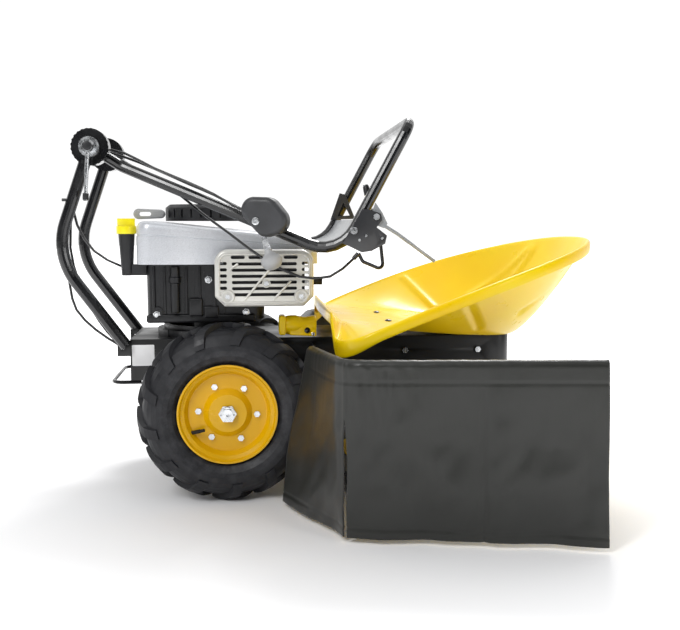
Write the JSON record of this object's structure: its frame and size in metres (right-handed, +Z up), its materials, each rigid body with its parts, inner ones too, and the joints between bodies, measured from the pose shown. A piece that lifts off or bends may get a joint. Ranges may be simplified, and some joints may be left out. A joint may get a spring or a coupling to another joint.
{
  "type": "walk-behind drum mower",
  "caption": "Walk-behind petrol drum mower on two lugged tyres, with a folding hand bar, a pressed deflector tray over the cutting drum and hanging side shields.",
  "frame": {"origin": "on the ground, at the middle of the object's plan", "axes": "+X forwards, +Y to the machine's left, +Z up"},
  "size_m": [1.2863, 1.24, 0.8748],
  "materials": {
    "black_paint": "semi-gloss black powder coat",
    "engine_casting": "black-painted casting",
    "yellow_paint": "glossy yellow enamel",
    "shroud_plastic": "silver-painted moulding",
    "bright_zinc": "bright zinc plate",
    "guard_alloy": "silver-painted pressed alloy",
    "tyre_rubber": "dusty black tyre rubber",
    "cable_sleeve": "black cable outer",
    "black_plastic": "moulded black plastic",
    "box_plastic": "moulded dark grey plastic",
    "grey_plastic": "moulded grey plastic",
    "grey_paint": "light grey paint",
    "plate_paint": "dark grey paint",
    "yellow_plastic": "moulded yellow plastic",
    "boot_rubber": "moulded rubber",
    "tarpaulin": "coated woven tarpaulin, thick and heavy",
    "knife_steel": "hardened knife steel",
    "flywheel_alloy": "cast alloy"
  },
  "bodies": {
    "chassis": {"chassis_beam": "black_paint", "rear_bar": "black_paint", "deck_bolts": "bright_zinc", "gearbox": "engine_casting", "belts": "boot_rubber", "engine_block": "engine_casting", "cylinder_fins": "engine_casting", "shroud": "shroud_plastic", "fan_guard": "black_plastic", "fuel_tank": "black_plastic", "oil_neck": "black_plastic", "muffler": "black_paint", "muffler_guard": "guard_alloy", "guard_screws": "bright_zinc", "spark_plug": "bright_zinc", "plug_boot": "boot_rubber", "air_filter": "black_plastic", "lower_handlebar": "black_paint", "pivot_bolts": "bright_zinc", "lower_cables": "cable_sleeve", "deflector_tray": "yellow_paint", "tray_arm": "yellow_paint", "shield_rails": "black_paint", "side_shield_right": "tarpaulin", "side_shield_left": "tarpaulin", "spindle_housing": "engine_casting"},
    "gearbox_input": {"input_shaft": "bright_zinc"},
    "wheel_right": {"axle_right": "bright_zinc", "rim_right": "yellow_paint", "tyre_right": "tyre_rubber", "wheel_bolts_right": "bright_zinc", "valve_right": "boot_rubber"},
    "wheel_left": {"axle_left": "bright_zinc", "rim_left": "yellow_paint", "tyre_left": "tyre_rubber", "wheel_bolts_left": "bright_zinc", "valve_left": "boot_rubber"},
    "crank": {"crankshaft": "bright_zinc", "engine_pulley": "bright_zinc", "flywheel": "flywheel_alloy"},
    "fuel_cap": {"fuel_cap": "black_plastic"},
    "oil_cap": {"oil_cap": "yellow_plastic"},
    "starter_grip": {"starter_grip": "grey_plastic"},
    "handlebar": {"upper_handlebar": "black_paint", "bridge_panel": "grey_paint", "control_box": "box_plastic", "lever_plates": "plate_paint", "lever_pins": "bright_zinc", "upper_cables": "cable_sleeve"},
    "clamp_lever": {"clamp_lever": "bright_zinc"},
    "shift_lever": {"shift_lever": "bright_zinc"},
    "clutch_lever": {"clutch_lever": "grey_paint"},
    "drive_trigger": {"drive_trigger": "black_paint"},
    "latch_lever": {"latch_lever": "bright_zinc"},
    "drum": {"spindle": "bright_zinc", "mower_drum": "yellow_paint", "cutting_disc": "engine_casting"},
    "knife_front": {"knife_front": "knife_steel"},
    "knife_back": {"knife_back": "knife_steel"},
    "glide_dish": {"glide_dish": "black_paint"}
  },
  "joints": [
    {"name": "wheel_right_spin", "type": "hinge", "parent": "chassis", "child": "wheel_right", "pos_m": [-0.25484, -0.2, 0.207], "axis": [0, 1, 0], "continuous": true},
    {"name": "wheel_left_spin", "type": "hinge", "parent": "chassis", "child": "wheel_left", "pos_m": [-0.25484, 0.2, 0.207], "axis": [0, 1, 0], "continuous": true},
    {"name": "drum_spin", "type": "hinge", "parent": "chassis", "child": "drum", "pos_m": [0.24516, 0, 0.05], "axis": [0, 0, 1], "continuous": true},
    {"name": "crank_spin", "type": "hinge", "parent": "chassis", "child": "crank", "pos_m": [-0.31484, 0, 0.366], "axis": [0, 0, 1], "continuous": true},
    {"name": "input_spin", "type": "hinge", "parent": "chassis", "child": "gearbox_input", "pos_m": [-0.41984, 0, 0.266], "axis": [0, 0, 1], "continuous": true},
    {"name": "dish_spin", "type": "hinge", "parent": "drum", "child": "glide_dish", "pos_m": [0.24516, 0, 0.006], "axis": [0, 0, 1], "continuous": true},
    {"name": "knife_front_swing", "type": "hinge", "parent": "drum", "child": "knife_front", "pos_m": [0.52316, 0, 0.048], "axis": [0, 0, 1], "continuous": true},
    {"name": "knife_back_swing", "type": "hinge", "parent": "drum", "child": "knife_back", "pos_m": [-0.03284, 0, 0.048], "axis": [0, 0, 1], "continuous": true},
    {"name": "handlebar_fold", "type": "hinge", "parent": "chassis", "child": "handlebar", "pos_m": [-0.56084, 0, 0.812], "axis": [0, -1, 0], "range_deg": [0, 165]},
    {"name": "clamp_turn", "type": "hinge", "parent": "chassis", "child": "clamp_lever", "pos_m": [-0.56084, -0.156, 0.812], "axis": [0, -1, 0], "range_deg": [-60, 90]},
    {"name": "gear_shift", "type": "hinge", "parent": "handlebar", "child": "shift_lever", "pos_m": [-0.18127, -0.23895, 0.64328], "axis": [0.3113, 0.9503, 0], "range_deg": [-12, 12]},
    {"name": "clutch_pull", "type": "hinge", "parent": "handlebar", "child": "clutch_lever", "pos_m": [0.07716, -0.278, 0.653], "axis": [0, -1, 0], "range_deg": [0, 45], "stiffness_Nm_per_rad": 1.5, "springref_deg": -8.59},
    {"name": "drive_squeeze", "type": "hinge", "parent": "handlebar", "child": "drive_trigger", "pos_m": [0.09016, -0.261, 0.606], "axis": [0, 1, 0], "range_deg": [0, 15], "stiffness_Nm_per_rad": 2, "springref_deg": -5.73},
    {"name": "latch_turn", "type": "hinge", "parent": "handlebar", "child": "latch_lever", "pos_m": [0.07716, -0.249, 0.653], "axis": [0, -1, 0], "range_deg": [-15, 20]},
    {"name": "starter_pull", "type": "slide", "parent": "chassis", "child": "starter_grip", "axis": [-0.3011, 0, 0.9536], "range_m": [0, 0.25], "stiffness_N_per_m": 20, "springref_m": -0.1},
    {"name": "oil_cap_lift", "type": "slide", "parent": "chassis", "child": "oil_cap", "axis": [0, 0, 1], "range_m": [0, 0.095]},
    {"name": "fuel_cap_lift", "type": "slide", "parent": "chassis", "child": "fuel_cap", "axis": [0, 0, 1], "range_m": [0, 0.04]}
  ],
  "couplings": [
    {"joint": "crank_spin", "follows": "drum_spin", "ratio": 2.3438},
    {"joint": "input_spin", "follows": "drum_spin", "ratio": 1.6667}
  ]
}
